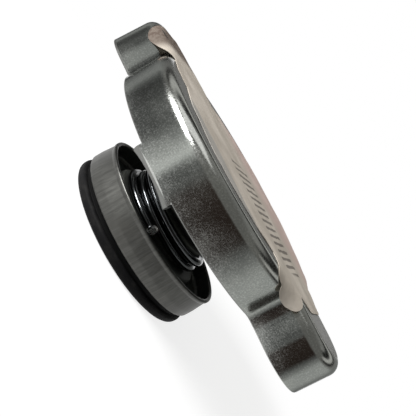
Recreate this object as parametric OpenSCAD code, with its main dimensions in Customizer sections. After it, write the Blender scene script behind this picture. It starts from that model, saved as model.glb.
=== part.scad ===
// Radiator cap with a pressure valve and a vacuum valve.
// The axis is vertical, the ears lie along X, and the seal's underside is at z = 0.

/* [Shell] */
// Height of the shell's top face above the seal's underside
cap_h = 30.1; // [29.6:0.1:31.6]
// Outside radius of the round part
shell_r = 31.7; // [31.4:0.1:32.4]
// Thickness of the shell's sheet steel
sheet_t = 1.0; // [0.8:0.05:1.2]
// Depth of the skirt below the top face
skirt_depth = 10.6; // [10:0.1:11.2]
// Radius of the shoulder between top and skirt
shoulder_r = 3.0; // [2.6:0.1:3.6]
// Distance from the axis to an ear's tip
ear_reach = 45.7; // [44:0.1:47.5]
// Half of an ear's width
ear_half_w = 10; // [9.4:0.1:11.5]
// Radius of an ear's corners, seen from above
ear_corner_r = 9; // [6:0.1:9.2]
// Half of the angle that a locking lug takes up
lug_half_angle = 12; // [9:0.5:14]
// Turn of the lugs from the line square to the ears
lug_turn = 4; // [0:0.5:6]
// How far a lug comes down below the skirt
lug_drop = 1.9; // [1.5:0.1:2.3]
// How far a lug reaches in from the skirt's outside
lug_reach = 4.9; // [4.3:0.1:5.3]
// Outside radius of a lug's bend
lug_bend_r = 1.6; // [1.3:0.1:1.8]
// Radius of the hollow in the top that takes the rivet's head
dimple_r = 7.5; // [6.6:0.1:9]
// Depth of that hollow
dimple_d = 1.2; // [1.1:0.05:1.5]

/* [Label] */
// Thickness of the paper
label_t = 0.2; // [0.15:0.05:0.3]
// Radius of the label's round part
label_r = 26; // [25:0.2:27.6]
// Bare metal between the label and an ear's shoulder
label_margin = 0.5; // [0.3:0.1:1.2]
// Distance from the axis to the label's plain end
label_end = 34; // [32:0.2:36]
// Radius of the label's corners
label_corner_r = 5.5; // [5:0.1:5.8]
// Direction of the corner that hangs over the shoulder
flap_angle = -30; // [-38:1:-30]
// Half of the hanging corner's width
flap_half_w = 4.4; // [3.4:0.2:5]
// How far the hanging corner lifts off the top
flap_lift = 0.05; // [0.04:0.01:0.1]
// How far the corner hangs down the skirt
flap_drop = 1.4; // [1:0.2:2]

/* [Rivet and upper seal] */
// Radius of the rivet's shank
rivet_r = 2.5; // [2.2:0.1:2.8]
// Radius of the rivet's head
rivet_head_r = 5.5; // [5:0.1:6]
// Thickness of the rivet's head
rivet_head_t = 1.0; // [0.8:0.05:1.05]
// Radius of the rivet's formed lower end
rivet_foot_r = 4.5; // [4:0.1:5]
// Thickness of the rivet's formed lower end
rivet_foot_t = 1.2; // [1:0.1:1.4]
// Outside radius of the thrust washer
washer_r = 8; // [7:0.1:9]
// Thickness of the thrust washer
washer_t = 0.8; // [0.6:0.1:1]
// Room between the diaphragm and the inside of the skirt
diaphragm_gap = 2.3; // [1.9:0.1:2.7]
// Thickness of the diaphragm
diaphragm_t = 0.5; // [0.4:0.05:0.6]
// How far the diaphragm's rim lies below its centre
diaphragm_dish = 1.0; // [0.6:0.1:1.6]
// Width of the neck gasket's ring
gasket_w = 5.7; // [5:0.1:6.1]
// Flat of the diaphragm beyond the pieces it carries, before its slope
slope_margin = 0.5; // [0.3:0.1:0.8]
// Bare rim of the diaphragm outside the neck gasket
gasket_margin = 0.3; // [0.2:0.1:0.6]
// Thickness of the neck gasket
gasket_t = 2.0; // [1.6:0.1:2.6]

/* [Guide bell and main spring] */
// Outside radius of the guide bell's tube
bell_r = 8; // [7.6:0.1:8.2]
// Thickness of the guide bell's sheet
bell_t = 0.8; // [0.6:0.05:0.9]
// How far the guide bell's flange stands out from its tube
bell_flange = 1.1; // [1:0.05:1.2]
// Outside radius of the spring seat
seat_r = 13.6; // [13:0.1:14]
// Thickness of the spring seat
seat_t = 0.8; // [0.6:0.1:1]
// Radius of the main spring, to the middle of its wire
spring_r = 11.75; // [11.7:0.05:12.2]
// Thickness of the main spring's wire
spring_wire = 2.0; // [1.8:0.1:2.1]
// Turns of the main spring between its two closed end turns
spring_open_turns = 3; // [2.5:0.5:3.5]
// Direction of the main spring's lower end
spring_end_angle = -68; // [-90:1:-50]

/* [Pressure valve] */
// Outside radius of the valve cup
cup_r = 20.5; // [20.2:0.1:20.9]
// Height of the valve cup's wall
cup_h = 6.7; // [6.4:0.1:7.2]
// How far that wall laps over the seal
cup_lap = 0.6; // [0.4:0.1:0.8]
// Thickness of the valve cup's folded wall
cup_wall_t = 1.0; // [0.8:0.1:1.2]
// Thickness of the valve cup's floor
cup_floor_t = 0.8; // [0.7:0.1:1]
// Height of the floor's underside above the wall's lower edge
cup_floor_rise = 1.2; // [1:0.1:1.4]
// Height of the main spring's seat above the floor
seat_step = 2.2; // [2:0.1:2.4]
// Outside radius of the main spring's seat
step_r = 14.4; // [14.2:0.1:14.8]
// Outside radius of the hat in the middle of the cup
hat_r = 10.35; // [10.2:0.05:10.45]
// Height of the hat above the main spring's seat
hat_h = 5.8; // [5.6:0.1:6.4]
// How far the seal stands out below the cup
seal_drop = 4.1; // [3.9:0.1:4.5]
// Radius of the seal's rounded outer edge
seal_edge_r = 1.2; // [0.8:0.1:1.5]
// Height of the seal's outer face above its underside
seal_face_h = 2.3; // [2:0.1:2.6]
// Depth of the seal's neck between that face and the cup
seal_neck_d = 0.7; // [0.5:0.05:0.8]
// Inside radius of the seal's lip
seal_lip_r = 14.2; // [14:0.1:15]
// Outside radius of the seal retainer's flange
retainer_r = 13.5; // [12.8:0.1:13.8]
// Thickness of the seal retainer's sheet
retainer_t = 0.8; // [0.7:0.05:0.9]

/* [Vacuum valve] */
// Radius of the hole that the vacuum valve closes
port_r = 3.2; // [2.8:0.1:3.5]
// Radius of the vacuum valve disc
disc_r = 7.5; // [6.5:0.1:8.5]
// Thickness of the vacuum valve disc
disc_t = 1.0; // [0.8:0.1:1.1]
// Radius of the vacuum valve stem
stem_r = 1.25; // [1:0.05:1.5]
// Radius of the stem's formed ends
stem_head_r = 2.1; // [1.8:0.1:2.4]
// Thickness of the stem's formed ends
stem_head_t = 0.6; // [0.5:0.1:0.7]
// Outside radius of the spring keeper
keeper_r = 5.2; // [5:0.1:5.6]
// Thickness of the spring keeper
keeper_t = 0.8; // [0.6:0.1:0.9]
// Length of the vacuum spring
vacuum_spring_h = 6.2; // [5.8:0.1:6.4]
// Radius of the vacuum spring, to the middle of its wire
vacuum_spring_r = 4.3; // [4.1:0.1:4.5]
// Thickness of the vacuum spring's wire
vacuum_wire = 0.6; // [0.5:0.05:0.7]
// Turns of the vacuum spring between its two closed end turns
vacuum_open_turns = 2; // [1.5:0.5:2.5]

/* [Fits] */
// Running clearance round the guide bell
run_gap = 0.3; // [0.2:0.05:0.4]
// Running clearance round the rivet
rivet_gap = 0.06; // [0.04:0.01:0.1]
// Free play between faces that turn or lift apart
play = 0.1; // [0.05:0.01:0.15]

/* [Hidden] */
$fn = 96;
over = 1;
closed_pitch = 1.08;
ground_share = 0.45;
skirt_z = cap_h - skirt_depth;
lug_z = skirt_z - lug_drop;
lug_inner_r = shell_r - lug_reach;
dimple_z = cap_h - dimple_d;
boss_z = dimple_z - sheet_t;
washer_z = boss_z - washer_t;
diaphragm_z = washer_z - play - diaphragm_t;
rim_z = diaphragm_z - diaphragm_dish;
diaphragm_r = shell_r - sheet_t - diaphragm_gap;
gasket_inner_r = diaphragm_r - gasket_margin - gasket_w;
bell_plate_z = diaphragm_z - bell_t;
seat_z = diaphragm_z - seat_t;
foot_z = bell_plate_z - play;
wall_z = seal_drop - cup_lap;
cup_rim_z = wall_z + cup_h;
floor_z = seal_drop + cup_floor_rise;
floor_top_z = floor_z + cup_floor_t;
spring_z = floor_top_z + seat_step;
hat_top_z = spring_z + hat_h;
hat_inner_r = hat_r - cup_floor_t;
hat_hole_r = bell_r + run_gap;
flange_top_z = hat_top_z - cup_floor_t - play;
retainer_z = seal_drop - retainer_t;
disc_z = retainer_z - disc_t;
keeper_z = seal_drop + vacuum_spring_h;
label_half_w = ear_half_w - shoulder_r - label_margin;
label_reach = ear_reach - shoulder_r - label_margin;
flap_z = cap_h - shoulder_r - flap_drop;
flap_half_angle = asin(flap_half_w / shell_r);

// A ring of rectangular section.
module ring(inner, outer, low, high) {
    rotate_extrude()
        translate([inner, low])
            square([outer - inner, high - low]);
}

// Half section of a wall with a rounded shoulder: reach r, shoulder s, from low to high.
module shoulder_section(r, s, low, high) {
    translate([0, low])
        square([r, high - s - low]);
    translate([0, low])
        square([r - s, high - low]);
    translate([r - s, high - s])
        intersection() {
            circle(s);
            square(s);
        }
}

// One ear, filled: a bar, its tip and two round corners.
module ear_form(inset, low) {
    high = cap_h - inset;
    s = shoulder_r - inset;
    side = ear_half_w - ear_corner_r;
    rotate([90, 0, 90])
        linear_extrude(ear_reach - ear_corner_r) {
            shoulder_section(ear_half_w - inset, s, low, high);
            mirror([1, 0])
                shoulder_section(ear_half_w - inset, s, low, high);
        }
    rotate([90, 0, 0])
        linear_extrude(2 * side, center = true)
            shoulder_section(ear_reach - inset, s, low, high);
    for (y = [-side, side])
        translate([ear_reach - ear_corner_r, y, 0])
            rotate_extrude()
                shoulder_section(ear_corner_r - inset, s, low, high);
}

// The whole inside of the cap, filled, with its wall one sheet in from the outside.
module cavity_form() {
    low = lug_z + sheet_t;
    rotate_extrude()
        shoulder_section(shell_r - sheet_t, shoulder_r - sheet_t, low, cap_h - sheet_t);
    for (turn = [0, 180])
        rotate([0, 0, turn])
            ear_form(sheet_t, low);
}

// The round part, filled, with its lower edge turned in all round as the lugs are.
module round_form() {
    rotate_extrude() {
        shoulder_section(shell_r, shoulder_r, lug_z + lug_bend_r, cap_h);
        translate([0, lug_z])
            square([shell_r - lug_bend_r, lug_bend_r]);
        translate([shell_r - lug_bend_r, lug_z + lug_bend_r])
            circle(lug_bend_r);
    }
}

// What is trimmed off the lower edge between the two lugs.
module trim_form() {
    rotate([0, 0, lug_turn + lug_half_angle - 90])
        rotate_extrude(angle = 180 - 2 * lug_half_angle)
            translate([0, lug_z - over])
                square([ear_reach + over, skirt_z - lug_z + over]);
}

// Height gained after t turns by a coil with a closed turn at each end.
function coil_rise(t, turns, closed, open) =
    t < 1 ? closed * t :
    t < turns - 1 ? closed + open * (t - 1) :
    closed * (t - turns + 2) + open * (turns - 2);

// A left-hand compression spring from low to high, with its ends ground flat.
module coil(low, high, r, wire, open_turns, start_angle, steps, sides) {
    turns = open_turns + 2;
    closed = wire * closed_pitch;
    first = low + ground_share * wire;
    last = high - ground_share * wire;
    open = (last - first - 2 * closed) / open_turns;
    count = floor(turns * steps);
    points = [for (i = [0:count], k = [0:sides - 1])
        let (
            t = i / steps,
            a = start_angle - 360 * t,
            b = 360 * k / sides,
            reach = r + wire / 2 * cos(b),
            z = first + coil_rise(t, turns, closed, open) + wire / 2 * sin(b)
        )
        [reach * cos(a), reach * sin(a), min(max(z, low), high)]];
    tube = [for (i = [0:count - 1], k = [0:sides - 1])
        let (n = (k + 1) % sides)
        [i * sides + k, i * sides + n, (i + 1) * sides + n, (i + 1) * sides + k]];
    start_cap = [for (k = [0:sides - 1]) sides - 1 - k];
    end_cap = [for (k = [0:sides - 1]) count * sides + k];
    polyhedron(points, concat([start_cap], tube, [end_cap]));
}

// Sheet steel pressing: top, skirt, two ears, two lugs and the hollow for the rivet's head.
module cap_shell() {
    color("silver")
        difference() {
            union() {
                difference() {
                    union() {
                        round_form();
                        for (turn = [0, 180])
                            rotate([0, 0, turn])
                                ear_form(0, lug_z);
                    }
                    cavity_form();
                    ring(0, lug_inner_r, lug_z - over, lug_z + sheet_t + over);
                    for (turn = [0, 180])
                        rotate([0, 0, turn])
                            trim_form();
                }
                ring(0, dimple_r + sheet_t, boss_z, cap_h - sheet_t / 2);
            }
            ring(0, dimple_r, dimple_z, cap_h + over);
            ring(0, rivet_r, boss_z - over, dimple_z + over);
        }
}

// Outline of the label's flat part.
module label_outline() {
    circle(label_r);
    translate([-label_reach + label_corner_r, label_corner_r - label_half_w])
        square([label_reach + label_end - 2 * label_corner_r, 2 * (label_half_w - label_corner_r)]);
    translate([-label_reach + label_corner_r, -label_half_w])
        square([label_reach + label_end - 2 * label_corner_r, 2 * label_half_w]);
    translate([-label_reach, label_corner_r - label_half_w])
        square([label_reach + label_end, 2 * (label_half_w - label_corner_r)]);
    for (x = [label_corner_r - label_reach, label_end - label_corner_r])
        for (y = [-1, 1])
            translate([x, y * (label_half_w - label_corner_r)])
                circle(label_corner_r);
}

// Section of the hanging corner, lying on the shoulder.
module flap_section() {
    translate([label_r - over, cap_h])
        square([shell_r - shoulder_r - label_r + over, label_t]);
    translate([shell_r, flap_z])
        square([label_t, cap_h - shoulder_r - flap_z]);
    translate([shell_r - shoulder_r, cap_h - shoulder_r])
        intersection() {
            difference() {
                circle(shoulder_r + label_t);
                circle(shoulder_r);
            }
            square(shoulder_r + label_t);
        }
}

// The corner that hangs over the shoulder, with its lower corners rounded off.
module label_flap() {
    difference() {
        rotate([0, 0, -flap_half_angle])
            rotate_extrude(angle = 2 * flap_half_angle)
                flap_section();
        for (flip = [0, 1])
            mirror([0, flip, 0])
                rotate([90, 0, 90])
                    linear_extrude(shell_r + over)
                        translate([0, flap_z + flap_half_w])
                            mirror([0, 1])
                                difference() {
                                    square(flap_half_w + over);
                                    circle(flap_half_w);
                                }
    }
}

// Printed paper, glued to the top, with one corner folded down over the shoulder.
module paper_label() {
    color("tan") {
        translate([0, 0, cap_h])
            linear_extrude(label_t)
                label_outline();
        translate([0, 0, flap_lift])
            rotate([0, 0, flap_angle])
                label_flap();
    }
}

// Rivet that holds the valve below the shell and lets it turn.
module centre_rivet() {
    color("gray") {
        ring(0, rivet_head_r, dimple_z, dimple_z + rivet_head_t);
        ring(0, rivet_r, foot_z - rivet_foot_t, dimple_z + rivet_head_t / 2);
        ring(0, rivet_foot_r, foot_z - rivet_foot_t, foot_z);
    }
}

// Washer between the shell and the turning pieces.
module thrust_washer() {
    color("goldenrod")
        ring(rivet_r, washer_r, washer_z, boss_z);
}

// Springy dished disc whose rim presses the neck gasket down.
module diaphragm() {
    color("lightgray")
        rotate_extrude()
            polygon([
                [rivet_r + rivet_gap, diaphragm_z],
                [seat_r + slope_margin, diaphragm_z],
                [gasket_inner_r - slope_margin, rim_z],
                [diaphragm_r, rim_z],
                [diaphragm_r, rim_z + diaphragm_t],
                [gasket_inner_r - slope_margin, rim_z + diaphragm_t],
                [seat_r + slope_margin, diaphragm_z + diaphragm_t],
                [rivet_r + rivet_gap, diaphragm_z + diaphragm_t]
            ]);
}

// Rubber ring that seals on the filler neck's top edge.
module neck_gasket() {
    color("black")
        ring(gasket_inner_r, diaphragm_r - gasket_margin, rim_z - gasket_t, rim_z);
}

// Pressed bell inside the main spring, whose flange carries the valve cup.
module guide_bell() {
    color("gray") {
        ring(rivet_r + rivet_gap, bell_r, bell_plate_z, diaphragm_z);
        ring(bell_r - bell_t, bell_r, flange_top_z - bell_t, diaphragm_z);
        ring(bell_r - bell_t, bell_r + bell_flange, flange_top_z - bell_t, flange_top_z);
    }
}

// Washer under the diaphragm that the main spring pushes against.
module spring_seat() {
    color("gray")
        ring(bell_r, seat_r, seat_z, diaphragm_z);
}

// Compression spring that sets the cap's pressure.
module main_spring() {
    color("dimgray")
        coil(spring_z, seat_z, spring_r, spring_wire, spring_open_turns, spring_end_angle, 32, 12);
}

// Drawn cup with a folded wall, a raised seat for the spring and a hat that slides on the guide bell.
module valve_cup() {
    color("darkgray") {
        ring(cup_r - cup_wall_t, cup_r, wall_z, cup_rim_z - cup_wall_t / 2);
        translate([0, 0, cup_rim_z - cup_wall_t / 2])
            rotate_extrude()
                translate([cup_r - cup_wall_t / 2, 0])
                    circle(cup_wall_t / 2);
        ring(step_r - cup_floor_t, cup_r - cup_wall_t / 2, floor_z, floor_top_z);
        ring(step_r - cup_floor_t, step_r, floor_z, spring_z);
        ring(hat_inner_r, step_r, spring_z - cup_floor_t, spring_z);
        ring(hat_inner_r, hat_r, spring_z - cup_floor_t, hat_top_z);
        ring(hat_hole_r, hat_r, hat_top_z - cup_floor_t, hat_top_z);
    }
}

// Rubber ring held in the cup's underside, with a lip that seals on the neck's inner seat.
module pressure_seal() {
    color("black") {
        ring(hat_inner_r, cup_r - cup_wall_t, seal_drop, floor_z);
        ring(hat_inner_r, step_r - cup_floor_t, seal_drop, spring_z - cup_floor_t);
        ring(seal_lip_r, cup_r - cup_wall_t, seal_face_h, seal_drop);
        ring(seal_lip_r, cup_r - seal_neck_d, seal_face_h, wall_z);
        ring(seal_lip_r, cup_r, seal_edge_r, seal_face_h);
        ring(seal_lip_r, cup_r - seal_edge_r, 0, seal_face_h);
        translate([0, 0, seal_edge_r])
            rotate_extrude()
                translate([cup_r - seal_edge_r, 0])
                    circle(seal_edge_r);
    }
}

// Flanged eyelet that clamps the seal and carries the vacuum valve.
module seal_retainer() {
    color("silver") {
        ring(port_r, retainer_r, retainer_z, seal_drop);
        ring(hat_inner_r - retainer_t, hat_inner_r, retainer_z, spring_z);
    }
}

// Plate that closes the vacuum port from below.
module vacuum_disc() {
    color("goldenrod")
        ring(stem_r, disc_r, disc_z, retainer_z);
}

// Pin that joins the disc to the keeper.
module vacuum_stem() {
    color("goldenrod") {
        ring(0, stem_r, disc_z - stem_head_t, keeper_z + keeper_t + stem_head_t);
        ring(0, stem_head_r, disc_z - stem_head_t, disc_z);
        ring(0, stem_head_r, keeper_z + keeper_t, keeper_z + keeper_t + stem_head_t);
    }
}

// Light spring that pulls the disc up against the port.
module vacuum_spring() {
    color("gray")
        coil(seal_drop, keeper_z, vacuum_spring_r, vacuum_wire, vacuum_open_turns, 0, 24, 8);
}

// Washer on the stem that the vacuum spring pushes up.
module spring_keeper() {
    color("goldenrod")
        ring(stem_r, keeper_r, keeper_z, keeper_z + keeper_t);
}

cap_shell();
paper_label();
centre_rivet();
thrust_washer();
diaphragm();
neck_gasket();
guide_bell();
spring_seat();
main_spring();
valve_cup();
pressure_seal();
seal_retainer();
vacuum_disc();
vacuum_stem();
vacuum_spring();
spring_keeper();
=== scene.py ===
# %% [markdown]
# # Radiator cap
# A pressure cap for a filler neck, seen from its side with the valve end to the left. The part's
# construction and its joints come from the frame. This lesson gives the same pieces their rounded
# edges, their wrinkled label and their finishes. Shapes are worked out in millimetres, and finishes
# and lamps in metres.

import bmesh
import bpy
import numpy as np
from mathutils import Matrix, Vector


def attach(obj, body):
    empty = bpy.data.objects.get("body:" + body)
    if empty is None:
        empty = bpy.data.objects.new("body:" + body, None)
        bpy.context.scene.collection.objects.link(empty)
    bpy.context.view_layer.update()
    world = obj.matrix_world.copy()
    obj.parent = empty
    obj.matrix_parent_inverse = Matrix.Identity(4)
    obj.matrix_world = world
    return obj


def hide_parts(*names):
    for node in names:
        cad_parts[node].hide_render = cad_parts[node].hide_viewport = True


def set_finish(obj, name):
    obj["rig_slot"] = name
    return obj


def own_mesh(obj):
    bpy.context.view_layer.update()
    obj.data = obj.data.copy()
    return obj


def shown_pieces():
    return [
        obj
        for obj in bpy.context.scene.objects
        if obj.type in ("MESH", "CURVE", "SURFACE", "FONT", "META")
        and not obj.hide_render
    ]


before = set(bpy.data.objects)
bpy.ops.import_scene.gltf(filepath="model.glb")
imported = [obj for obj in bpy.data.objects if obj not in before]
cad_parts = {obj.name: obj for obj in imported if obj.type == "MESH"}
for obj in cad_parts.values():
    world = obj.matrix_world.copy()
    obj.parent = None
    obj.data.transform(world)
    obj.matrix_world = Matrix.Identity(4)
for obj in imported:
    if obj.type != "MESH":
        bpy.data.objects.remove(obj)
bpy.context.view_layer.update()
MM = 0.001
scene = bpy.context.scene

# %% [markdown]
# ## From numbers to a piece
# Every piece is a grid of points: a line of points carried round the axis, round the plan of the
# shell or along a wire. One function numbers the grid's cells. Another welds seams and poles, turns
# the faces outward and makes the object. A third hands it to the CAD body that it rides on.

# %% Grids and pieces
WELD = 1e-7


def grid_faces(rows, cols, wrap_rows=False, wrap_cols=True, first=0):
    """Cell (i, j) has the corners (i, j), (i, j+1), (i+1, j+1), (i+1, j); point (i, j) is i * cols + j."""
    i = np.arange(rows if wrap_rows else rows - 1)[:, None]
    j = np.arange(cols if wrap_cols else cols - 1)[None, :]
    down, along = (i + 1) % rows, (j + 1) % cols
    corners = [i * cols + j, i * cols + along, down * cols + along, down * cols + j]
    return first + np.stack(np.broadcast_arrays(*corners), -1).reshape(-1, 4)


def make_piece(name, points, faces, sharp=38):
    """Welds points p and q where |p - q| < WELD metres, and turns the faces outward."""
    mesh = bpy.data.meshes.new(name)
    mesh.from_pydata((np.asarray(points).reshape(-1, 3) * MM).tolist(), [], list(faces))
    work = bmesh.new()
    work.from_mesh(mesh)
    bmesh.ops.remove_doubles(work, verts=work.verts, dist=WELD)
    bmesh.ops.recalc_face_normals(work, faces=work.faces)
    volume = work.calc_volume(signed=True)
    work.to_mesh(mesh)
    work.free()
    mesh.shade_smooth()
    mesh.set_sharp_from_angle(angle=np.radians(sharp))
    piece = bpy.data.objects.new(name, mesh)
    scene.collection.objects.link(piece)
    print(name, len(mesh.polygons), "faces,", round(volume / MM**3), "cubic mm")
    return piece


def belongs(piece, node, body, slot):
    """The piece stands for one CAD node, on that node's body, in that node's finish."""
    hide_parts(node)
    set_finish(piece, slot)
    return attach(piece, body)


# %% [markdown]
# ## Turned sections
# The valve end is all pressed or moulded round parts: cup, rubber ring, eyelet, washers and pin.
# Each is a section drawn once and carried round the axis. Pressed sheet and rubber have no sharp
# corners, so every corner (r, z, f) of a section has a radius f of its own.

# %% Section and turning
ARC_STEPS = 5
LONG_RUN, BRACE = 0.4, 0.05


def section(corners):
    """The closed line through the corners (r, z, f), each rounded by its radius f.

    With unit directions a and b from corner c to its neighbours, and half the angle between them h,
    the arc lies round c + (a + b) / |a + b| * f / sin h."""
    spots = np.array(corners, float)
    line = []
    for k, (r, z, f) in enumerate(spots):
        c = np.array([r, z])
        a = spots[k - 1, :2] - c
        b = spots[(k + 1) % len(spots), :2] - c
        a, b = a / np.linalg.norm(a), b / np.linalg.norm(b)
        if f == 0:
            line.append(c[None])
            continue
        half = np.arccos(np.clip(a @ b, -1, 1)) / 2
        middle = c + (a + b) / np.linalg.norm(a + b) * f / np.sin(half)
        start, end = c + a * f / np.tan(half) - middle, c + b * f / np.tan(half) - middle
        w = np.pi - 2 * half
        t = np.linspace(0, 1, ARC_STEPS + 1)[:, None]
        line.append(middle + (np.sin((1 - t) * w) * start + np.sin(t * w) * end) / np.sin(w))
    return np.concatenate(line)


def braced(line, ring):
    """A straight run from p to q, longer than LONG_RUN, gets two more points and so shades flat.

    They are p + BRACE u and q - BRACE u, with u = (q - p) / |q - p|."""
    after = np.roll(line, -1, 0)
    length = np.linalg.norm(after - line, axis=1)
    way = BRACE * (after - line) / length[:, None]
    long_run = length > LONG_RUN
    long_run[-1] &= ring
    trio = np.stack([line, line + way, after - way], 1)
    return trio[np.stack([length > 0, long_run, long_run], 1)]


def turned(name, corners, columns=120):
    """Point (r, z) of the section becomes (r cos a, r sin a, z) for a from 0 to 2 pi."""
    line = section(corners)
    ring = line[:, 0].min() > 1e-6
    line = braced(line, ring)
    a = np.linspace(0, 2 * np.pi, columns, endpoint=False)
    r, z = line[:, 0, None], line[:, 1, None]
    points = np.stack([r * np.cos(a), r * np.sin(a), z + 0 * a], -1)
    return make_piece(name, points, grid_faces(len(line), columns, wrap_rows=ring).tolist())


# %% [markdown]
# ## Pressure valve: cup and rubber ring
# The cup is drawn from thin sheet: an outer wall with a rolled lip, a floor, a raised seat that the
# spring stands on and a hat in the middle. The rubber ring is moulded to the cup's underside and
# presses on the seat in the filler neck. Its rounded lower edge is what wears.

# %% Valve cup, pressure seal and seal retainer
valve_cup = [
    (19.5, 10.2, 0.4), (20.4, 10.2, 0.4), (20.4, 9.5, 0.3), (20.2, 9.1, 0.4), (20.5, 5.8, 6),
    (20.5, 3.5, 0.5), (19.5, 3.5, 0.2), (19.5, 5.3, 0.2), (14.4, 5.3, 0.6), (13.6, 7.5, 0.5),
    (10.35, 7.5, 0.4), (10.35, 14.1, 0.7), (8.3, 14.1, 0.35), (8.3, 13.3, 0.35), (9.55, 13.3, 0.4),
    (9.55, 8.3, 0.5), (14.4, 8.3, 0.7), (14.9, 6.1, 0.6), (19.5, 6.1, 0.8)]
pressure_seal = [
    (14.2, 0, 0.6), (20.5, 0, 1.2), (20.5, 2.15, 0.75), (19.55, 2.45, 0.2), (19.55, 3.5, 0),
    (19.5, 3.5, 0), (19.5, 5.3, 0.2), (14.4, 5.3, 0.4), (13.6, 7.5, 0.4), (9.55, 7.5, 0.3),
    (9.55, 4.1, 0.2), (14.2, 4.1, 0.4)]
seal_retainer = [
    (3.2, 3.3, 0.3), (13.5, 3.3, 0.3), (13.5, 4.1, 0.3), (9.55, 4.1, 0.1), (9.55, 8.3, 0.3),
    (8.75, 8.3, 0.3), (8.75, 4.1, 0.2), (3.2, 4.1, 0.3)]
belongs(turned("valve_cup_drawn", valve_cup, columns=180), "valve_cup", "pressure_valve", "cup_steel")
belongs(turned("pressure_seal_moulded", pressure_seal, columns=160),
        "pressure_seal", "pressure_valve", "black_rubber")
belongs(turned("seal_retainer_pressed", seal_retainer), "seal_retainer", "pressure_valve", "bell_steel")

# %% [markdown]
# ## Vacuum valve
# When the engine cools, the small brass disc under the cup drops and lets coolant flow back. A pin
# with a head at each end holds the disc below and a keeper washer above, with a light coil between.

# %% Disc, stem and keeper
vacuum_disc = [(1.25, 2.3, 0.1), (7.5, 2.3, 0.4), (7.5, 3.3, 0.3), (1.25, 3.3, 0.1)]
vacuum_stem = [
    (0, 1.7, 0), (2.1, 1.7, 0.3), (2.1, 2.3, 0.1), (1.25, 2.3, 0.05), (1.25, 11.1, 0.05),
    (2.1, 11.1, 0.1), (2.1, 11.7, 0.3), (0, 11.7, 0)]
spring_keeper = [(1.25, 10.3, 0.1), (5.2, 10.3, 0.25), (5.2, 11.1, 0.25), (1.25, 11.1, 0.1)]
belongs(turned("vacuum_disc_stamped", vacuum_disc), "vacuum_disc", "vacuum_valve", "brass")
belongs(turned("vacuum_stem_headed", vacuum_stem, columns=64), "vacuum_stem", "vacuum_valve", "brass")
belongs(turned("spring_keeper_washer", spring_keeper, columns=96),
        "spring_keeper", "vacuum_valve", "brass")

# %% [markdown]
# ## Carrier under the shell
# A rivet hangs the valve end below the shell and lets it turn. On the rivet sit a washer, a springy
# steel diaphragm with the gasket for the neck's rim, and a bell that guides the spring and catches
# the cup by its flange.

# %% Rivet, washer, diaphragm, gasket, bell and spring seat
centre_rivet = [
    (0, 24.4, 0), (4.5, 24.4, 0.5), (4.5, 25.6, 0.2), (2.5, 25.6, 0.05), (2.5, 28.9, 0.05),
    (5.5, 28.9, 0.1), (5.5, 29.9, 0.6), (0, 29.9, 0)]
thrust_washer = [(2.5, 27.1, 0.1), (8, 27.1, 0.25), (8, 27.9, 0.25), (2.5, 27.9, 0.1)]
diaphragm = [
    (2.56, 26.5, 0.1), (14.1, 26.5, 3), (21.9, 25.5, 3), (28.4, 25.5, 0.2), (28.4, 26, 0.2),
    (21.9, 26, 3), (14.1, 27, 3), (2.56, 27, 0.1)]
neck_gasket = [(22.4, 23.5, 0.4), (28.1, 23.5, 0.4), (28.1, 25.5, 0.3), (22.4, 25.5, 0.3)]
guide_bell = [
    (2.56, 25.7, 0.1), (7.2, 25.7, 0.6), (7.2, 12.4, 0.6), (9.1, 12.4, 0.3), (9.1, 13.2, 0.3),
    (8, 13.2, 0.2), (8, 26.5, 0.3), (2.56, 26.5, 0.1)]
spring_seat = [(8, 25.7, 0.1), (13.6, 25.7, 0.3), (13.6, 26.5, 0.3), (8, 26.5, 0.1)]
belongs(turned("centre_rivet_headed", centre_rivet, columns=96), "centre_rivet", "shell", "rivet_steel")
belongs(turned("thrust_washer_stamped", thrust_washer), "thrust_washer", "shell", "brass")
belongs(turned("diaphragm_sprung", diaphragm, columns=160), "diaphragm", "valve_carrier", "spring_sheet")
belongs(turned("neck_gasket_moulded", neck_gasket, columns=160),
        "neck_gasket", "valve_carrier", "black_rubber")
belongs(turned("guide_bell_drawn", guide_bell), "guide_bell", "valve_carrier", "bell_steel")
belongs(turned("spring_seat_washer", spring_seat), "spring_seat", "valve_carrier", "bell_steel")

# %% [markdown]
# ## Coil springs
# A compression spring is a wire wound on a mandrel with its end turns laid close so that it stands
# up. The main spring is wound left-handed. Its lower end has sprung outward past the next turn and
# was simply cut off, which shows as a bright broken face. The wire is a circle swept along a line.

# %% Wire and coils
CUT_RUN, LIP_RUN, CUT_STEP = 2.4, 0.5, 0.0028


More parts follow.
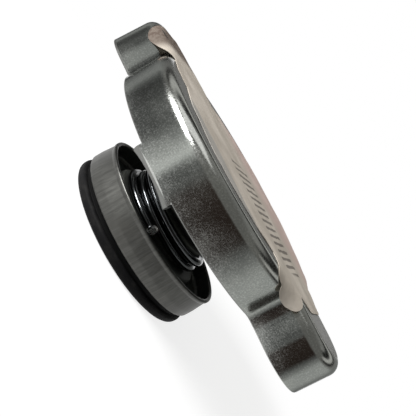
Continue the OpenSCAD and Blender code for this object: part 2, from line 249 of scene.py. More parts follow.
def coil(name, wire, start, hand, marks, heights, radii, per_turn=72, round_points=16, slant=0.0):
    """Centre line (R cos a, R sin a, z), a = start + 2 pi hand t; the wire's circle lies across its tangent.

    R and z are given at some turns t and run softly between them. The first end is cut at a slant:
    its point at angle b on the wire moves along the wire by slant cos b, less and less over CUT_RUN,
    and a torn lip stands out by about a third of the slant within LIP_RUN of the cut."""
    turns = np.linspace(0, marks[-1], int(marks[-1] * per_turn) + 1)
    soft = np.hanning(per_turn // 5)
    soft /= soft.sum()
    pad = len(soft)
    t = np.union1d(turns, CUT_STEP * np.arange(5)) if slant else turns

    def softly(values):
        line = np.pad(np.interp(turns, marks, values), pad, mode="edge")
        return np.interp(t, turns, np.convolve(line, soft, "same")[pad:-pad])

    z, radius = softly(heights), softly(radii)
    a = start + 2 * np.pi * hand * t
    centre = np.stack([radius * np.cos(a), radius * np.sin(a), z], -1)
    tangent = np.gradient(centre, axis=0)
    run = np.linalg.norm(tangent, axis=1)
    tangent /= run[:, None]
    out = np.stack([np.cos(a), np.sin(a), 0 * a], -1)
    up = np.cross(tangent, out)
    b = np.linspace(0, 2 * np.pi, round_points, endpoint=False)
    ring = out[:, None] * np.cos(b)[:, None] + up[:, None] * np.sin(b)[:, None]
    length = (np.cumsum(run) - run[0])[:, None]
    cut = slant * np.clip(1 - length / CUT_RUN, 0, 1) * (np.cos(b) + 0.15 * np.sin(5 * b))
    lip = 0.35 * slant * np.clip(1 - length / LIP_RUN, 0, 1) * np.clip(np.cos(b) + 0.2, 0, 1)
    lip = lip * (1 + 0.4 * np.sin(7 * b))
    points = centre[:, None] + ring * (wire / 2 + lip)[..., None] + tangent[:, None] * cut[..., None]
    rows, last = len(t), (len(t) - 1) * round_points
    ends = [list(range(round_points)), list(range(last, last + round_points))]
    return make_piece(name, points, grid_faces(rows, round_points).tolist() + ends)


TIP_TURN, TIP_R, TIP_Z = np.radians(-68), 12.85, 9.3
main_marks = [0, 0.3, 0.6, 0.8, 0.9, 1, 1.15, 1.3, 1.6, 1.9, 2, 2.15, 2.3, 4, 5]
main_rise = [0, 0.1, 0.3, 0.6, 0.9, 1.35, 1.75, 2.05, 2.5, 3, 3.4, 3.8, 4.35, 13.3, 15.4]
main_radii = np.interp(
    main_marks, [0, 0.3, 0.6, 0.9, 1.3, 2, 5], [TIP_R, 12.6, 12, 11.4, 11.4, 11.6, 11.75])
main_spring = belongs(coil(
    "main_spring_wound", 2.0, TIP_TURN, -1, main_marks, TIP_Z + np.array(main_rise), main_radii,
    slant=0.8), "main_spring", "valve_carrier", "dark_wire")
vacuum_marks, vacuum_heights = [0, 0.7, 1, 3, 3.3, 4], [4.4, 4.5, 5.05, 9.35, 9.9, 10]
vacuum_spring = belongs(coil(
    "vacuum_spring_wound", 0.6, 0.0, 1, vacuum_marks, vacuum_heights, [4.3] * len(vacuum_marks),
    per_turn=48, round_points=10), "vacuum_spring", "pressure_valve", "spring_sheet")

# %% [markdown]
# ## Shell
# The shell is one steel pressing: a flat top, a rounded shoulder that runs on round the two ears, a
# deep skirt and two lugs turned in under the skirt. Its plan is a line of points with their outward
# normals, and its section is a list of insets and heights, so that the whole pressing is one grid.

# %% Plan of the shell
SHELL_R, EAR_REACH, EAR_HALF, EAR_CORNER, CREASE_R = 31.7, 45.7, 10.0, 9.0, 4.0
LUG_MIDDLE, LUG_HALF = np.radians(94), np.radians(12)
BEFORE_LUG, ON_LUG, AFTER_LUG = 36, 25, 46


def arc(middle, radius, start, end, count, outward=1):
    """Points middle + radius (cos a, sin a) and normals of them, a from start to end."""
    a = np.linspace(start, end, count)
    way = np.stack([np.cos(a), np.sin(a)], -1)
    return np.concatenate([np.array(middle) + radius * way, outward * way], 1)


def shell_plan():
    """One ear from its middle to the round part, the round part with a lug in it, the other ear mirrored;

    the second half is the first turned by 180 degrees, p -> -p. Rows are x, y, normal x, normal y."""
    crease_x = np.sqrt((SHELL_R + CREASE_R) ** 2 - (EAR_HALF + CREASE_R) ** 2)
    crease = np.arctan2(EAR_HALF + CREASE_R, crease_x)
    straight = np.linspace(EAR_REACH - EAR_CORNER, crease_x, 6)[1:-1]
    corner = arc((EAR_REACH - EAR_CORNER, EAR_HALF - EAR_CORNER), EAR_CORNER, 0, np.pi / 2, 18)
    side = np.array([[x, EAR_HALF, 0, 1] for x in straight])
    bend = arc((crease_x, EAR_HALF + CREASE_R), CREASE_R, -np.pi / 2, crease - np.pi, 8, -1)
    ear = np.concatenate([[[EAR_REACH, 0, 1, 0]], corner, side, bend])
    lug_low, lug_high = LUG_MIDDLE - LUG_HALF, LUG_MIDDLE + LUG_HALF
    body = np.concatenate([arc((0, 0), SHELL_R, crease, lug_low, BEFORE_LUG)[1:],
                           arc((0, 0), SHELL_R, lug_low, lug_high, ON_LUG)[1:],
                           arc((0, 0), SHELL_R, lug_high, np.pi - crease, AFTER_LUG)[1:-1]])
    half = np.concatenate([ear, body, (ear * [-1, 1, -1, 1])[:0:-1]])
    lug = len(ear) + BEFORE_LUG - 2
    return np.concatenate([half, -half]), (lug, lug + ON_LUG - 1), len(half)


plan, lug_columns, half_plan = shell_plan()
lug_x, lug_y = plan[lug_columns[0], :2]
print("shell plan", len(plan), "columns; lug from", round(np.degrees(np.arctan2(lug_y, lug_x)), 1), "degrees")

# %% [markdown]
# The section runs from the rivet hole over the top, round the shoulder, down the skirt, round the
# cut edge and back inside. The ears' lower edges hang a little, one more than the other, as the
# pressing was trimmed, and one ear's end leans in. At a lug the cut edge is left out and the wall
# bends on inward.

# %% Rows of the shell
TOP, SHEET, SHOULDER, SKIRT, EDGE = 30.1, 1.0, 3.0, 19.5, 0.14
BEND, LUG_REACH, LUG_DROP, LUG_BOW, LUG_BRACE = 1.2, 4.9, 1.4, 0.75, 0.04
LEAN_LOW, LEAN, LEAN_FROM, LEAN_RUN = 0.7, 0.09, 30, 6.7
EAR_BLEND, LEFT_EAR_DROP, RIGHT_EAR_DROP = 1.5, 0.85, 0.2
RIVET_R, RIVET_SEAT, WASHER_SEAT, DISH_R = 2.5, 28.9, 27.9, 8.2
WALL = np.array([0.005, 0.13, 0.25, 0.38, 0.5, 0.63, 0.76, 0.88, 0.995, 1])
QUARTER = np.linspace(0, np.pi / 2, 5)


def lug_rows(inset, stop, turn_z):
    """Down the wall, a quarter turn of radius BEND inward, flat to LUG_REACH, round its end and back above."""
    sweep = np.linspace(0, np.pi / 2, 9)
    under_z, end, tight = turn_z - BEND, LUG_REACH - EDGE, BEND - SHEET
    flat = np.concatenate([[BEND + LUG_BRACE], np.linspace(BEND, end, 5)[1:-1], [end - LUG_BRACE]])
    rows = [inset(0, stop + (turn_z - stop) * s) for s in (0, 0.5, 0.95)]
    rows += [inset(BEND * (1 - np.cos(s)), turn_z - BEND * np.sin(s)) for s in sweep]
    rows += [inset(d, under_z) for d in (*flat, end)]
    rows += [inset(LUG_REACH - EDGE * (1 - np.sin(q)), under_z + EDGE * (1 - np.cos(q))) for q in QUARTER[1:]]
    rows += [inset(LUG_REACH - EDGE * (1 - np.cos(q)), under_z + SHEET - EDGE * (1 - np.sin(q)))
             for q in QUARTER]
    rows += [inset(d, under_z + SHEET) for d in flat[::-1]]
    rows += [inset(BEND - tight * np.cos(s), turn_z - tight * np.sin(s)) for s in sweep[::-1]]
    return rows + [inset(SHEET, stop + (turn_z - stop) * s) for s in (0.5, 0)]


def shell_grid():
    """Point = P - N inset at height z; on the top, P - N shoulder shrinks to a circle round the rivet."""
    place, normal = plan[:, :2], plan[:, 2:]
    angle = np.arctan2(place[:, 1], place[:, 0])
    count = len(plan)
    eared = np.clip((np.hypot(*place.T) - SHELL_R) / EAR_BLEND, 0, 1)
    eared = eared**2 * (3 - 2 * eared)
    low = SKIRT - eared * np.where(place[:, 0] < 0, LEFT_EAR_DROP, RIGHT_EAR_DROP)
    turn = (angle - LUG_MIDDLE + np.pi / 2) % np.pi - np.pi / 2
    lug_low = SKIRT - LUG_DROP - LUG_BOW * (turn / LUG_HALF) ** 2
    stop, turn_z = low + EDGE, np.minimum(lug_low + BEND, low + 0.2)
    slide = np.clip((-place[:, 0] - LEAN_FROM) / LEAN_RUN, 0, 1)[:, None] * [1, 0]

    def inset(d, z):
        tall = np.reshape(z + np.zeros(count), (-1, 1))
        return np.concatenate([place - normal * d + slide * (LEAN_LOW + LEAN * (tall - SKIRT)), tall], 1)

    shoulder_line = inset(SHOULDER, TOP)[:, :2]
    spoke = shoulder_line / np.linalg.norm(shoulder_line, axis=1)[:, None]

    def circle(r, z):
        return np.concatenate([spoke * r, np.full((count, 1), z)], 1)

    def across(share, r, z):
        return np.concatenate([shoulder_line * (1 - share) + spoke * r * share, np.full((count, 1), z)], 1)

    top = [circle(RIVET_R, RIVET_SEAT), circle(6.8, RIVET_SEAT), circle(7.3, 29.15)]
    top += [circle(7.7, TOP - 0.25), circle(DISH_R, TOP)]
    top += [across(s, DISH_R, TOP) for s in (0.75, 0.5, 0.25, 0.08, 0.002)]
    bow = np.linspace(np.pi / 2, 0, 13)
    outer = [inset(SHOULDER * (1 - np.cos(b)), TOP - SHOULDER * (1 - np.sin(b))) for b in bow]
    outer += [inset(0, TOP - SHOULDER + (stop - TOP + SHOULDER) * s) for s in WALL]
    rim = [inset(EDGE * (1 - np.cos(q)), low + EDGE * (1 - np.sin(q))) for q in QUARTER[1:]]
    rim += [inset(SHEET - EDGE * (1 - np.sin(q)), low + EDGE * (1 - np.cos(q))) for q in QUARTER[:-1]]
    inner = [inset(SHEET, stop + (TOP - SHOULDER - stop) * s) for s in (0, *WALL)]
    tight = SHOULDER - SHEET
    inner += [inset(SHOULDER - tight * np.cos(b), TOP - SHOULDER + tight * np.sin(b)) for b in bow[::-1][1::2]]
    under = [across(s, 9, TOP - SHEET) for s in (0.3, 0.7)]
    under += [circle(8.9, TOP - SHEET), circle(8.5, TOP - SHEET - 0.4)]
    under += [circle(8.3, WASHER_SEAT), circle(RIVET_R, WASHER_SEAT)]
    rows, lug = np.array(top + outer + rim + inner + under), np.array(lug_rows(inset, stop, turn_z))
    return rows, lug, len(top + outer) - 1, len(top + outer + rim)


# %% [markdown]
# The rows close to one grid. Where a lug is, the cells of the cut edge are left out, and the lug's
# own grid is joined on in their place, so the pressing stays one skin.

# %% Shell as one piece
def shell_piece():
    """The grid without the cut edge under the lugs, the lugs' own grids, and one face to close each side."""
    points, lug, rim_first, rim_last = shell_grid()
    rows, cols = points.shape[:2]
    faces = grid_faces(rows, cols, wrap_rows=True)
    row, col = faces[:, 0] // cols, faces[:, 0] % cols
    in_lug = ((col % half_plan) >= lug_columns[0]) & ((col % half_plan) < lug_columns[1])
    faces = faces[~(in_lug & (row >= rim_first) & (row < rim_last))].tolist()
    everything = [points.reshape(-1, 3)]
    first = rows * cols
    for begin in (0, half_plan):
        part = lug[:, begin + lug_columns[0]:begin + lug_columns[1] + 1]
        wide = part.shape[1]
        everything.append(part.reshape(-1, 3))
        faces += grid_faces(len(lug), wide, wrap_cols=False, first=first).tolist()
        for column, edge in ((lug_columns[0], 0), (lug_columns[1], wide - 1)):
            loop = [first + k * wide + edge for k in range(len(lug))]
            back = [k * cols + begin + column for k in range(rim_last - 1, rim_first, -1)]
            faces.append(loop + back)
        first += len(lug) * wide
    return make_piece("cap_shell_pressed", np.concatenate(everything), faces, sharp=32)


belongs(shell_piece(), "cap_shell", "shell", "zinc_steel")

# %% [markdown]
# ## Label
# A paper label lies on the top. It covers the round part and one ear, ends short on the other ear,
# and one loose corner hangs over the shoulder where the ear begins. It is a sheet that follows the
# shell: what lies beyond the shoulder's start wraps round it by its own length.

# %% Outline and wrinkles of the label
PAPER, GLUE, CURL, WRINKLE = 0.12, 0.03, 0.02, 0.65
WAVES = ((0.21, 0.9, 0.3, 0.05), (0.55, -0.35, 1.7, 0.035), (-0.4, 0.75, 4.1, 0.03),
         (1.1, 0.5, 2.2, 0.018), (0.3, -1.4, 0.6, 0.015))


def reach_of(half, reach, corner, turn, angle):
    """Radius, at each angle, of a strip from the axis to reach with rounded end corners, turned by turn."""
    bow = np.linspace(0, np.pi / 2, 24)
    side = np.linspace(reach - corner, 0, 80)[1:]
    x = np.concatenate([[reach], reach - corner + corner * np.cos(bow), side])
    y = np.concatenate([[0], half - corner + corner * np.sin(bow), np.full(len(side), half)])
    away = np.abs((angle - turn + np.pi) % (2 * np.pi) - np.pi)
    return np.interp(away, np.arctan2(y, x), np.hypot(x, y), right=0)


def label_edge(angle):
    """Radius of the flat label at each angle: the largest of a round part and the strips that leave it."""
    deg = np.degrees(angle)
    round_part = 24.6 + 1.6 * np.cos(angle + np.radians(25)) + 3.6 * np.clip(np.sin(angle), 0, 1)
    round_part = round_part + np.interp(deg, [0, 15, 35, 60], [0, 1.8, 1.6, 0])
    by_crease = np.interp(
        deg, [-165, -160, -148, -142, -136], [32.2, 30.2, 28.6, 27.6, 24], left=0, right=0)
    folded_end = reach_of(10.2, 40.0, 4.0, np.radians(-175.6), angle)
    short_end = reach_of(9.0, 33.4, 4.0, np.radians(3.8), angle)
    loose_corner = reach_of(5.5, 32.5, 4.0, np.radians(-22), angle)
    tongue = reach_of(3.6, 35.5, 3.2, np.radians(-21.5), angle)
    return np.maximum.reduce([round_part, by_crease, folded_end, short_end, loose_corner, tongue])


def shell_inset(p, k):
    """Distance inside the shell's plan. With a for the round part and b for the ears, it is

    max(a, b) + max(k - |a - b|, 0)^2 / 4k, which joins them softly."""
    a = SHELL_R - np.hypot(p[..., 0], p[..., 1])
    lean = (p[..., :1] < 0) * [LEAN_LOW + LEAN * (TOP - SKIRT), 0]
    q = np.abs(p) - [EAR_REACH - EAR_CORNER, EAR_HALF - EAR_CORNER] + lean
    b = EAR_CORNER - np.hypot(*np.moveaxis(np.maximum(q, 0), -1, 0)) - np.minimum(q.max(-1), 0)
    return np.maximum(a, b) + np.maximum(k - np.abs(a - b), 0) ** 2 / (4 * k)


def wrinkles(p):
    """Sum of plane waves h sin(u x + v y + s) of 4 to 10 mm, strongest towards the label's edge."""
    bumps = sum(h * np.sin(u * p[..., 0] + v * p[..., 1] + s) for u, v, s, h in WAVES)
    return bumps * np.clip(np.hypot(p[..., 0], p[..., 1]) / 22, 0.3, 1)


# %% [markdown]
# The flat sheet is then laid on the shell point by point. It keeps its length where it goes over the
# shoulder, and gets a second skin one paper's thickness below.

# %% Label as a draped sheet
def label_piece():
    """A point d beyond the shoulder's start goes to angle d / R on the shoulder of radius R, then hangs."""
    angle = np.linspace(-np.pi, np.pi, 1080, endpoint=False)
    share = np.concatenate([np.linspace(0, 0.9, 22), np.linspace(0.92, 1, 7)])
    way = np.stack([np.cos(angle), np.sin(angle)], -1)
    flat = share[:, None, None] * (label_edge(angle)[:, None] * way)
    k, step = 8.0, 1e-3
    depth = shell_inset(flat, k)
    slope = np.stack([shell_inset(flat + move, k) - depth for move in ([step, 0], [0, step])], -1)
    slope /= np.linalg.norm(slope, axis=-1, keepdims=True) + 1e-12
    beyond = np.maximum(SHOULDER - depth, 0)
    radius = SHOULDER + PAPER + 0.05
    hang = np.radians(np.where(flat[..., 0] < 0, 88, 78))
    bow = np.minimum(beyond / radius, hang)
    rest = beyond - bow * radius
    run = radius * np.sin(bow) + rest * np.cos(hang)
    fall = radius * (1 - np.cos(bow)) + rest * np.sin(hang)
    place = flat + slope * (beyond - run)[..., None]
    curl = CURL * np.clip((share[:, None] - 0.93) / 0.07, 0, 1) ** 2 * (beyond < 0.2)
    height = TOP + PAPER + GLUE - fall + WRINKLE * wrinkles(flat) * (beyond < 3) + curl
    upper = np.concatenate([place, height[..., None]], -1)
    below = (height - PAPER * np.cos(bow))[..., None]
    lower = np.concatenate([place + slope * PAPER * np.sin(bow)[..., None], below], -1)
    points = np.concatenate([upper, lower[::-1]])
    return make_piece("paper_label_sheet", points, grid_faces(len(points), len(angle)).tolist(), sharp=50)


belongs(label_piece(), "paper_label", "shell", "label_paper")

# %% [markdown]
# ## Finishes
# All finishes are worked out from places on the piece itself. A small class lets a shader's sums be
# written as sums. Every other node comes from one method: its kind, its settings, then its inputs.

# %% Shader sums
class Signal:
    """One output of a node tree, which + - * and / work on."""

    def __init__(self, finish, socket):
        self.finish, self.socket = finish, socket

    def __add__(self, other):
        return self.finish.math("ADD", self, other)

    def __sub__(self, other):
        return self.finish.math("SUBTRACT", self, other)

    def __rsub__(self, other):
        return self.finish.math("SUBTRACT", other, self)

    def __mul__(self, other):
        return self.finish.math("MULTIPLY", self, other)

    def __truediv__(self, other):
        return self.finish.math("DIVIDE", self, other)

    __radd__, __rmul__ = __add__, __mul__


class Finish:
    """A node tree being written, for a material or the world."""

    def __init__(self, owner):
        owner.use_nodes = True
        self.owner, self.tree = owner, owner.node_tree
        self.tree.nodes.clear()

    def node(self, kind, settings=None, inputs=None, output=0):
        """One node: its kind, its settings and its inputs, which are numbers, colours or signals."""
        made = self.tree.nodes.new("ShaderNode" + kind)
        for key, value in (settings or {}).items():
            if key == "stops":
                while len(made.color_ramp.elements) < len(value):
                    made.color_ramp.elements.new(0.5)
                for element, (spot, colour) in zip(made.color_ramp.elements, value):
                    element.position, element.color = spot, (*colour, 1)
            else:
                setattr(made, key, value)
        for key, value in (inputs or {}).items():
            if isinstance(value, Signal):
                self.tree.links.new(value.socket, made.inputs[key])
            else:
                made.inputs[key].default_value = value
        return Signal(self, made.outputs[output]) if len(made.outputs) else made

    def math(self, operation, *values):
        return self.node("Math", {"operation": operation}, dict(enumerate(values)))

    def measure(self, operation, *vectors):
        return self.node("VectorMath", {"operation": operation}, dict(enumerate(vectors)), "Value")

    def stretched(self, place, *shares):
        return self.node("VectorMath", {"operation": "MULTIPLY"}, {0: place, 1: shares})

    def parts(self, place, axes="XYZ"):
        return [self.node("SeparateXYZ", {}, {0: place}, axis) for axis in axes]

    def mix(self, share, a, b):
        """Colour a at share 0 and b at share 1."""
        colours = {key: (*c, 1) if isinstance(c, tuple) else c for key, c in ((6, a), (7, b))}
        return self.node("Mix", {"data_type": "RGBA"}, {0: share, **colours}, 2)

    def ramp(self, value, low, high):
        """0 below low, 1 above high, smooth between."""
        inputs = {0: value, 1: low, 2: high, 3: 0.0, 4: 1.0}
        return self.node("MapRange", {"interpolation_type": "SMOOTHSTEP"}, inputs)

    def band(self, value, rise, fall):
        """1 between the two pairs, 0 outside them, smooth across each pair."""
        return self.ramp(value, *rise) * (1 - self.ramp(value, *fall))

    def noise(self, place, scale, detail=3.0, rough=0.55):
        inputs = {"Vector": place, "Scale": scale, "Detail": detail, "Roughness": rough}
        return self.node("TexNoise", {}, inputs, "Fac")

    def seen_by(self, *rays):
        """1 for rays of the kinds named, of which no ray is two, and 0 for all others."""
        seen = [self.node("LightPath", {}, {}, f"Is {ray} Ray") for ray in rays]
        return sum(seen[1:], seen[0])

    def surface(self, bump, **sockets):
        """The finished material, with bump = (height, strength, distance)."""
        names = {key.replace("_", " "): value for key, value in sockets.items()}
        names["Normal"] = self.node("Bump", {}, dict(zip(("Height", "Strength", "Distance"), bump)))
        self.node("OutputMaterial", {}, {"Surface": self.node("BsdfPrincipled", {}, names)})
        return self.owner


def new_finish(name):
    finish = Finish(bpy.data.materials.new(name))
    return finish, finish.node("TexCoord", {}, {}, "Object")


# %% [markdown]
# Zinc plating on steel dulls in patches and keeps a fine sparkle from the crystals of the coat. The
# cup is a duller galvanised sheet with streaks from drawing. The spring's wire is black and smooth.

# %% Metals
def zinc_plated():
    """Patches and sparkle; rougher on the flat top and along the cut edge below, where painted shade also
    darkens the tone.
    """
    f, place = new_finish("zinc_plated")
    x, y, z = f.parts(place)
    patch = f.noise(place, 110, 4)
    peel = f.noise(place, 600, 2)
    spark = f.noise(place, 3000, 1.5)
    # The flat top's mask, used for painted shade in the tone and for more roughness.
    flat = f.ramp(z, 0.03003, 0.03009)
    on_ear = f.ramp(f.math("ABSOLUTE", x), 0.0295, 0.032)
    # Painted shade: the skirt's lower cut edge is darkened, reaching a little higher on the ears and over the
    # lugs' bends.
    along = x * f.math("SIGN", y) * -1
    on_lug = f.band(along, (-0.0046, -0.0044), (0.0086, 0.0088))
    low = 1 - f.ramp(z + on_ear * 0.0005 + on_lug * 0.0008, 0.0196, 0.01978)
    tone = f.mix(f.ramp(patch, 0.35, 0.7), (0.46, 0.47, 0.45), (0.56, 0.57, 0.54))
    tone = f.mix((1 - f.ramp(spark, 0.34, 0.5)) * 0.4, tone, (0.40, 0.41, 0.395))
    tone = f.mix(f.ramp(spark, 0.54, 0.66) * 0.45, tone, (0.70, 0.71, 0.69))
    # Painted shade on the lower edge and the lugs' bends.
    tone = f.mix(low * 0.85, tone, (0.16, 0.16, 0.152))
    # Painted shade on the flat top: darker on the round part than on the ears.
    tone = f.mix(flat * 0.8, tone, f.mix(on_ear, (0.16, 0.157, 0.15), (0.34, 0.335, 0.32)))
    rough = 0.12 + f.ramp(patch, 0.35, 0.7) * 0.06 + f.ramp(spark, 0.4, 0.7) * 0.05
    rough = rough + flat * (0.36 - on_ear * 0.14) + low * 0.22
    bump = (peel * 0.9 + spark * 0.1, 0.035, 0.0003)
    return f.surface(bump, Base_Color=tone, Metallic=1.0, Roughness=rough)


def galvanised_cup():
    """Grey outside with fine streaks along the axis; darker inside, where sqrt(x^2 + y^2) is under 19 mm, as
    painted shade.
    """
    f, place = new_finish("galvanised_cup")
    streak = f.noise(f.stretched(place, 1, 1, 0.08), 1500, 4, 0.7)
    patch = f.noise(place, 140, 4)
    inside = 1 - f.ramp(f.measure("LENGTH", f.stretched(place, 1, 1, 0)), 0.0185, 0.0193)
    tone = f.mix(f.ramp(streak, 0.3, 0.75), (0.075, 0.075, 0.07), (0.125, 0.125, 0.117))
    tone = f.mix(f.ramp(patch, 0.5, 0.75) * 0.5, tone, (0.1, 0.098, 0.09))
    # Painted shade inside the cup: a little darker and greener than outside.
    tone = f.mix(inside * 0.8, tone, (0.09, 0.096, 0.085))
    rough = 0.37 + streak * 0.08 + inside * 0.2
    return f.surface((streak, 0.06, 0.0002), Base_Color=tone, Metallic=1.0, Roughness=rough)


def black_wire():
    """Black and smooth, with the broken steel bare within 1.5 mm of the wire's cut end."""
    f, place = new_finish("black_wire")
    scuff = f.noise(place, 700, 3)
    tip = tuple(MM * np.array([TIP_R * np.cos(TIP_TURN), TIP_R * np.sin(TIP_TURN), TIP_Z]))
    burr = f.noise(place, 2600, 2)
    bare = (1 - f.ramp(f.measure("DISTANCE", place, tip), 0.0012, 0.0015)) * f.ramp(burr, 0.3, 0.5)
    tone = f.mix(bare, (0.11, 0.115, 0.12), (0.95, 0.95, 0.93))
    rough = 0.12 + scuff * 0.1 + bare * 0.25
    bump = (scuff + bare * burr * 40, 0.08, 0.0002)
    return f.surface(bump, Base_Color=tone, Metallic=1.0, Roughness=rough)


def plain_metal(name, dark, light, rough):
    """Two tones in patches, a little rougher where lighter."""
    f, place = new_finish(name)
    patch = f.noise(place, 260, 4)
    tone = f.mix(f.ramp(patch, 0.35, 0.7), dark, light)
    return f.surface((patch, 0.08, 0.0002), Base_Color=tone, Metallic=1.0, Roughness=rough + patch * 0.12)


# %% [markdown]
# Rubber is matt black, greyed where dust sits. The label is grey-brown paper: fine fibre, stains,
# and at the end that folds over the ear brown stains and painted shade that makes it darker.

# %% Rubber and paper
def matt_rubber():
    """Black with dust, and blackest in the groove between the ring and the cup, as painted shade."""
    f, place = new_finish("matt_rubber")
    dust = f.noise(place, 320, 4)
    z = f.parts(place, "Z")[0]
    # Painted shade: the groove between the ring and the cup is made blacker.
    groove = f.band(z, (0.0022, 0.0025), (0.0035, 0.0036))
    tone = f.mix(f.ramp(dust, 0.45, 0.8), (0.006, 0.006, 0.0065), (0.022, 0.021, 0.02))
    tone = f.mix(groove, tone, (0.001, 0.001, 0.001))
    bump = (f.noise(place, 1800, 2), 0.1, 0.0002)
    return f.surface(bump, Base_Color=tone, Roughness=0.55 + dust * 0.2, Specular_IOR_Level=0.1)


def stained_paper():
    """Grey-brown, pinker to the far edge, with plain slanting bars, a stained ear end darkened by painted
    shade, and a short dark line.
    """
    f, place = new_finish("stained_paper")
    x, y = f.parts(place, "XY")
    fibre = f.noise(place, 2600, 3)
    stain = f.noise(place, 95, 4)
    crease = f.noise(f.stretched(place, 1, 2.2, 1), 230, 4)
    tone = f.mix(f.ramp(stain, 0.35, 0.7), (0.46, 0.41, 0.35), (0.62, 0.56, 0.49))
    tone = f.mix(f.ramp(y, 0.006, 0.02) * 0.6, tone, (0.62, 0.44, 0.41))
    slant = f.math("SINE", (x + y * 0.12) * 3400)
    row = f.band(y, (-0.0065, -0.0055), (0.0065, 0.0075)) * f.band(x, (-0.004, -0.003), (0.024, 0.025))
    bars = row * f.ramp(slant + f.noise(place, 420, 2) * 2, 1.0, 1.5)
    tone = f.mix(bars * 0.75, tone, (0.06, 0.05, 0.045))
    border = (1 - f.ramp(y, -0.0195, -0.0188)) * f.ramp(x, -0.014, -0.01)
    tone = f.mix(border * 0.7, tone, (0.30, 0.30, 0.29))
    folded = 1 - f.ramp(x, -0.0365, -0.0325)
    ear_end = folded * f.ramp(f.noise(place, 800, 4), 0.42, 0.6)
    # Painted shade: the folded ear end, which faces the lamp, is made darker.
    tone = f.mix(1 - f.ramp(x, -0.0345, -0.0305), tone, (0.15, 0.118, 0.097))
    tone = f.mix(ear_end * 0.7, tone, (0.06, 0.032, 0.022))
    # A short, nearly black line on the folded end, running along x.
    from_dark_line = f.measure("DISTANCE", f.stretched(place, 1, 4, 0), (-0.0365, -0.0312, 0))
    tone = f.mix(1 - f.ramp(from_dark_line, 0.0012, 0.0016), tone, (0.02, 0.016, 0.014))
    tone = f.mix(fibre * 0.12, tone, (0.75, 0.7, 0.63))
    bump = (crease * (1 + folded * 2.5) + fibre * 0.15, 0.35, 0.0004)
    return f.surface(bump, Base_Color=tone, Roughness=0.8, Specular_IOR_Level=0.1)


# %% [markdown]
# Pieces of one material share one finish, by the slot that was given to each.

# %% Each slot gets its finish
finishes = {
    "zinc_steel": zinc_plated(),
    "label_paper": stained_paper(),
    "rivet_steel": plain_metal("rivet_metal", (0.35, 0.35, 0.34), (0.5, 0.5, 0.49), 0.3),
    "brass": plain_metal("stamped_brass", (0.48, 0.36, 0.15), (0.66, 0.52, 0.25), 0.28),
    "spring_sheet": plain_metal("bright_sheet", (0.42, 0.42, 0.41), (0.6, 0.6, 0.58), 0.25),
    "black_rubber": matt_rubber(),
    "bell_steel": plain_metal("bell_metal", (0.06, 0.06, 0.056), (0.12, 0.12, 0.11), 0.35),
    "dark_wire": black_wire(),
    "cup_steel": galvanised_cup(),
}
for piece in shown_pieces():
    piece.data.materials.clear()
    piece.data.materials.append(finishes[piece["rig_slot"]])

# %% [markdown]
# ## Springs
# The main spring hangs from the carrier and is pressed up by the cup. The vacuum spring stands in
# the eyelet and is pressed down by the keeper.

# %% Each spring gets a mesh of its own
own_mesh(main_spring)
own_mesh(vacuum_spring)

# %% [markdown]
# ## Studio
# A pale table under the part, and a room that is white behind the part and dim on the camera's
# side. The bright metal is a mirror for that room, so its light and dark zones are the room's. The
# table shows its own white to the camera and to the metal, and so meets the backdrop.

# %% Table
AHEAD = np.array([-0.33404, 0.92465, -0.18289])
TABLE_R, TABLE_Z, TABLE_SIDES = 110, -0.05, 96

table_rim = arc((0, 0), TABLE_R, 0, 2 * np.pi, TABLE_SIDES + 1)[:-1, :2]
table_points = np.full((TABLE_SIDES + 1, 3), TABLE_Z)
table_points[0, :2], table_points[1:, :2] = 0, table_rim
table_faces = [[0, k, k % TABLE_SIDES + 1] for k in range(1, TABLE_SIDES + 1)]
table_mesh = bpy.data.meshes.new("table_top")
table_mesh.from_pydata((table_points * MM).tolist(), [], table_faces)
table_top = bpy.data.objects.new("table_top", table_mesh)
scene.collection.objects.link(table_top)


def pale_table():
    """Matt, with a share of its own white for rays that see it, which grows to all of it at the rim."""
    f, place = new_finish("pale_table")
    seen = f.seen_by("Camera", "Glossy", "Transmission")
    glow = f.node("Emission", {}, {"Color": seen * 0.8, "Strength": 1.0})
    matt = f.node("BsdfDiffuse", {}, {"Color": (0.36, 0.36, 0.36, 1)})
    lit = f.node("AddShader", {}, {0: glow, 1: matt})
    blank = f.node("Emission", {}, {"Color": seen, "Strength": 1.0})
    rim = f.ramp(f.measure("LENGTH", place), 0.06, 0.108)
    f.node("OutputMaterial", {}, {"Surface": f.node("MixShader", {}, {0: rim, 1: lit, 2: blank})})
    return f.owner


table_top.data.materials.append(pale_table())
print("table of radius", TABLE_R, "mm")

# %% [markdown]
# The room is painted on the sky: low down, a tone for each compass direction, and higher up, beams
# of light at the back and a plain dim ceiling on the camera's side.

# %% Room
WALLS = [
    (-180, 0.06), (-167, 0.08), (-152, 0.12), (-137, 0.12), (-122, 0.36), (-112, 0.6), (-106, 0.92),
    (-101, 0.16), (-96, 0.10), (-88, 0.15), (-80, 0.04), (-30, 0.03), (-20, 0.14), (-10, 0.28),
    (4, 0.5), (38, 0.5), (52, 0.36), (66, 0.2), (100, 0.2), (130, 0.03), (138, 0.03), (149, 0.18),
    (163, 0.32), (172, 0.12), (180, 0.06)]
BEAMS = [
    (0.0, 0.20), (0.32, 0.22), (0.38, 0.04), (0.46, 0.03), (0.52, 0.6), (0.62, 0.6), (0.68, 0.02),
    (0.80, 0.02), (0.86, 0.3), (1.0, 0.2)]
BROWN, PLAIN = (1, 0.75, 0.62), (0.97, 1, 0.97)


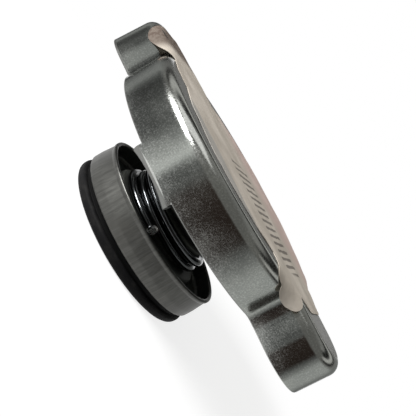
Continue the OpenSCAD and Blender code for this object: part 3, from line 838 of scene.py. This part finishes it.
def room():
    """Brightness by compass direction, from arctan2(y, x), and by height; white where the camera looks."""
    world = bpy.data.worlds.new("room")
    f = Finish(world)
    way = f.node("TexCoord", {}, {}, "Generated")
    x, y, z = f.parts(way)
    turn = f.math("ARCTAN2", y, x) / (2 * np.pi) + 0.5
    tints = [BROWN if -86 < a < -22 else PLAIN for a, v in WALLS]
    stops = [((a + 180) / 360, tuple(v * c for c in tint)) for (a, v), tint in zip(WALLS, tints)]
    wall = f.node("ValToRGB", {"stops": stops}, {"Fac": turn}, "Color")
    stops = [(h, (v, v, v * 0.96)) for h, v in BEAMS]
    beam = f.node("ValToRGB", {"stops": stops}, {"Fac": z}, "Color")
    ceiling = f.mix(f.ramp(y, -0.1, 0.2), (0.17, 0.17, 0.16), beam)
    around = f.mix(f.ramp(z, 0.12, 0.34), wall, ceiling)
    behind = f.ramp(f.measure("DOT_PRODUCT", way, tuple(AHEAD)), 0.9063, 0.9205)
    white = f.math("MAXIMUM", behind * f.seen_by("Glossy", "Transmission"), f.seen_by("Camera"))
    colour = f.mix(white, around, (1.0, 1.0, 1.0))
    f.node("OutputWorld", {}, {"Surface": f.node("Background", {}, {"Color": colour, "Strength": 1.0})})
    return world


scene.world = room()
print("a room with", len(WALLS), "wall tones and one dim side")

# %% [markdown]
# One soft lamp stands on the camera's side, to the left, and gives the shoulder its white streak. A
# dim pane above it shows only in the metal, where it draws that streak out into a thin line.

# %% Lamps
LAMP_TARGET = (0, 0, 0.02)


def lamp(name, place, size, power):
    """A rectangle of light, size[0] by size[1] metres, that faces the part."""
    data = bpy.data.lights.new(name, "AREA")
    data.shape, data.size, data.size_y, data.energy = "RECTANGLE", size[0], size[1], power
    made = bpy.data.objects.new(name, data)
    scene.collection.objects.link(made)
    made.location = place
    made.rotation_euler = (Vector(LAMP_TARGET) - Vector(place)).to_track_quat("-Z", "Y").to_euler()
    return made


lamp("window_lamp", (-0.292, -0.300, 0.19), (0.24, 0.15), 3.1)
upper_pane = lamp("upper_pane", (-0.212, -0.123, 0.397), (0.26, 0.30), 0.23)
upper_pane.visible_diffuse = False
print("one soft lamp and a dim pane that only shines in the metal")

# %% [markdown]
# ## Camera
# The camera was fitted to the part's edges in the picture: 163 mm from the axis, looking down by
# 10.5 degrees and rolled by 60.6 degrees. A shift puts the view's middle where the fit found it.

# %% Camera
PICTURE, SENSOR = 416, 36.0
eye = np.array([55.417, -153.397, 46.341])
roll, focal, middle = np.radians(60.62), 742.8, np.array([188.34, 208.33])
level = np.cross(AHEAD, [0, 0, 1.0])
level /= np.linalg.norm(level)
above = np.cross(level, AHEAD)
right = level * np.cos(roll) + above * np.sin(roll)
up = above * np.cos(roll) - level * np.sin(roll)
look = bpy.data.cameras.new("camera")
look.sensor_width, look.lens = SENSOR, focal / PICTURE * SENSOR
look.shift_x, look.shift_y = 0.5 - middle[0] / PICTURE, middle[1] / PICTURE - 0.5
look.clip_start = 0.005
camera = bpy.data.objects.new("camera", look)
columns = [[right[k], up[k], -AHEAD[k], eye[k] * MM] for k in range(3)]
camera.matrix_world = Matrix(columns + [[0, 0, 0, 1]])
scene.collection.objects.link(camera)
scene.camera = camera
scene.view_settings.view_transform = "Standard"
print("camera lens", round(look.lens, 2), "shift", round(look.shift_x, 4), round(look.shift_y, 4))

# %% [markdown]
# The dressed part has to stay inside the box of the CAD part.

# %% Update of the view layer
bpy.context.view_layer.update()
